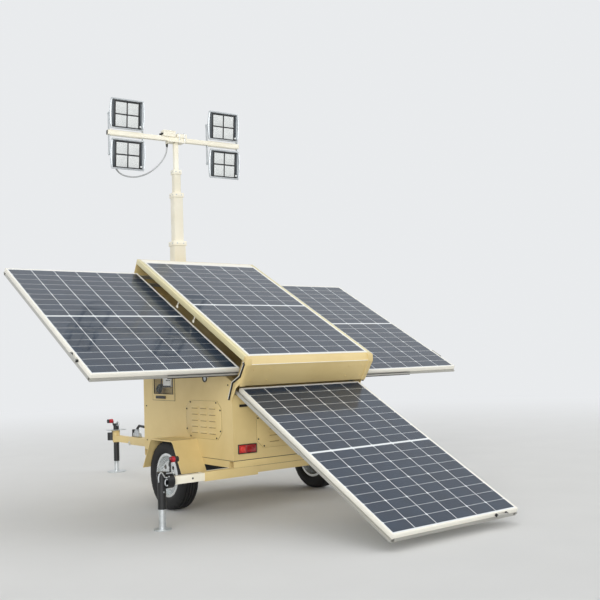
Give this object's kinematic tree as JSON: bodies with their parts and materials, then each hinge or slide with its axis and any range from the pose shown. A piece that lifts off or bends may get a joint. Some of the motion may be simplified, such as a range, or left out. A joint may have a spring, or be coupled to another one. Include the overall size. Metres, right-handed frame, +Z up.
{
  "type": "solar light tower trailer",
  "caption": "Towable mobile light tower with slide-out solar panels, a louvred battery cabinet, jack stands and a telescopic mast carrying flood lamps.",
  "frame": {"origin": "on the ground under the middle of the trailer's overall box, with the panels drawn out and the jacks down", "axes": "+Y along the drawbar towards the tow coupler, +Z up, +X to the right when looking along +Y"},
  "size_m": [3.478, 4.81, 3.486],
  "materials": {
    "sand_paint": "satin",
    "black_paint": "satin",
    "grey_paint": "satin",
    "cream_paint": "satin",
    "anodised_frame": "satin",
    "zinc_steel": "brushed",
    "slide_steel": "brushed",
    "solar_glass": "gloss",
    "clear_pane": "gloss",
    "lamp_glass": "gloss",
    "seal_rubber": "matte",
    "tyre_rubber": "matte",
    "red_lens": "gloss",
    "cable_sheath": "matte",
    "battery_case": "matte",
    "control_plastic": "matte",
    "rim_paint": "satin"
  },
  "bodies": {
    "trailer": {"battery_block": "battery_case", "cabinet_end_walls": "sand_paint", "cabinet_floor": "sand_paint", "control_box": "control_plastic", "crossmembers": "sand_paint", "drawbar": "sand_paint", "fenders": "sand_paint", "fixed_module_frame": "anodised_frame", "fixed_module_laminate": "solar_glass", "fixed_slides": "slide_steel", "handbrake": "black_paint", "hood_seals": "seal_rubber", "housing_top_frame": "sand_paint", "housing_tub": "sand_paint", "left_wall": "sand_paint", "mast_base": "cream_paint", "mast_section_1": "cream_paint", "mast_winch": "black_paint", "rear_beam_and_sleeves": "sand_paint", "rear_hood": "sand_paint", "right_wall": "sand_paint", "side_rails": "sand_paint", "tail_lamps": "red_lens", "torsion_axle": "black_paint", "tow_coupler": "zinc_steel", "tow_jack_tube": "black_paint", "vent_panels": "sand_paint"},
    "left_wheel": {"left_tyre": "tyre_rubber", "left_rim": "rim_paint"},
    "right_wheel": {"right_tyre": "tyre_rubber", "right_rim": "rim_paint"},
    "left_wing": {"left_panel_frame": "anodised_frame", "left_panel_laminate": "solar_glass", "left_carriage": "slide_steel"},
    "right_wing": {"right_panel_frame": "anodised_frame", "right_panel_laminate": "solar_glass", "right_carriage": "slide_steel"},
    "rear_wing": {"rear_panel_frame": "anodised_frame", "rear_panel_laminate": "solar_glass", "rear_carriage": "slide_steel"},
    "left_mid": {"left_mid_slides": "slide_steel"},
    "right_mid": {"right_mid_slides": "slide_steel"},
    "rear_mid": {"rear_mid_slides": "slide_steel"},
    "mast_2": {"mast_section_2": "cream_paint"},
    "mast_3": {"mast_section_3": "cream_paint"},
    "mast_4": {"mast_section_4": "cream_paint", "mast_head": "cream_paint", "crossbar": "cream_paint", "lamp_housings": "grey_paint", "lamp_lenses": "lamp_glass", "lamp_cable": "cable_sheath"},
    "left_outrigger": {"left_outrigger_beam": "cream_paint", "left_jack_tube": "black_paint"},
    "right_outrigger": {"right_outrigger_beam": "cream_paint", "right_jack_tube": "black_paint"},
    "left_leg": {"left_jack_leg": "zinc_steel"},
    "right_leg": {"right_jack_leg": "zinc_steel"},
    "tow_leg": {"tow_jack_leg": "zinc_steel"},
    "lid": {"control_lid": "sand_paint", "lid_window": "clear_pane"}
  },
  "joints": [
    {"name": "left_wheel_spin", "type": "hinge", "parent": "trailer", "child": "left_wheel", "pos_m": [-0.705, -0.15248, 0.261], "axis": [1, 0, 0], "continuous": true},
    {"name": "right_wheel_spin", "type": "hinge", "parent": "trailer", "child": "right_wheel", "pos_m": [0.705, -0.15248, 0.261], "axis": [1, 0, 0], "continuous": true},
    {"name": "left_wing_slide", "type": "slide", "parent": "trailer", "child": "left_wing", "axis": [1, 0, 0], "range_m": [0, 1.15]},
    {"name": "right_wing_slide", "type": "slide", "parent": "trailer", "child": "right_wing", "axis": [-1, 0, 0], "range_m": [0, 1.15]},
    {"name": "rear_wing_slide", "type": "slide", "parent": "trailer", "child": "rear_wing", "axis": [0, 0.8796, 0.4756], "range_m": [0, 1.73]},
    {"name": "left_mid_slide", "type": "slide", "parent": "trailer", "child": "left_mid", "axis": [1, 0, 0], "range_m": [0, 0.575]},
    {"name": "right_mid_slide", "type": "slide", "parent": "trailer", "child": "right_mid", "axis": [-1, 0, 0], "range_m": [0, 0.575]},
    {"name": "rear_mid_slide", "type": "slide", "parent": "trailer", "child": "rear_mid", "axis": [0, 0.8796, 0.4756], "range_m": [0, 0.865]},
    {"name": "mast_2_slide", "type": "slide", "parent": "trailer", "child": "mast_2", "axis": [0, 0, 1], "range_m": [-0.4, 0.95]},
    {"name": "mast_3_slide", "type": "slide", "parent": "mast_2", "child": "mast_3", "axis": [0, 0, 1], "range_m": [-0.17, 1.15]},
    {"name": "mast_4_slide", "type": "slide", "parent": "mast_3", "child": "mast_4", "axis": [0, 0, 1], "range_m": [-0.21, 1.15]},
    {"name": "left_outrigger_slide", "type": "slide", "parent": "trailer", "child": "left_outrigger", "axis": [1, 0, 0], "range_m": [0, 0.23]},
    {"name": "right_outrigger_slide", "type": "slide", "parent": "trailer", "child": "right_outrigger", "axis": [-1, 0, 0], "range_m": [0, 0.23]},
    {"name": "left_jack_slide", "type": "slide", "parent": "left_outrigger", "child": "left_leg", "axis": [0, 0, 1], "range_m": [0, 0.12]},
    {"name": "right_jack_slide", "type": "slide", "parent": "right_outrigger", "child": "right_leg", "axis": [0, 0, 1], "range_m": [0, 0.12]},
    {"name": "tow_jack_slide", "type": "slide", "parent": "trailer", "child": "tow_leg", "axis": [0, 0, 1], "range_m": [0, 0.09]},
    {"name": "lid_hinge", "type": "hinge", "parent": "trailer", "child": "lid", "pos_m": [-0.6015, 0.17102, 1.132], "axis": [0, 1, 0], "range_deg": [0, 100]}
  ],
  "couplings": [
    {"joint": "left_mid_slide", "follows": "left_wing_slide", "ratio": 0.5},
    {"joint": "right_mid_slide", "follows": "right_wing_slide", "ratio": 0.5},
    {"joint": "rear_mid_slide", "follows": "rear_wing_slide", "ratio": 0.5}
  ]
}
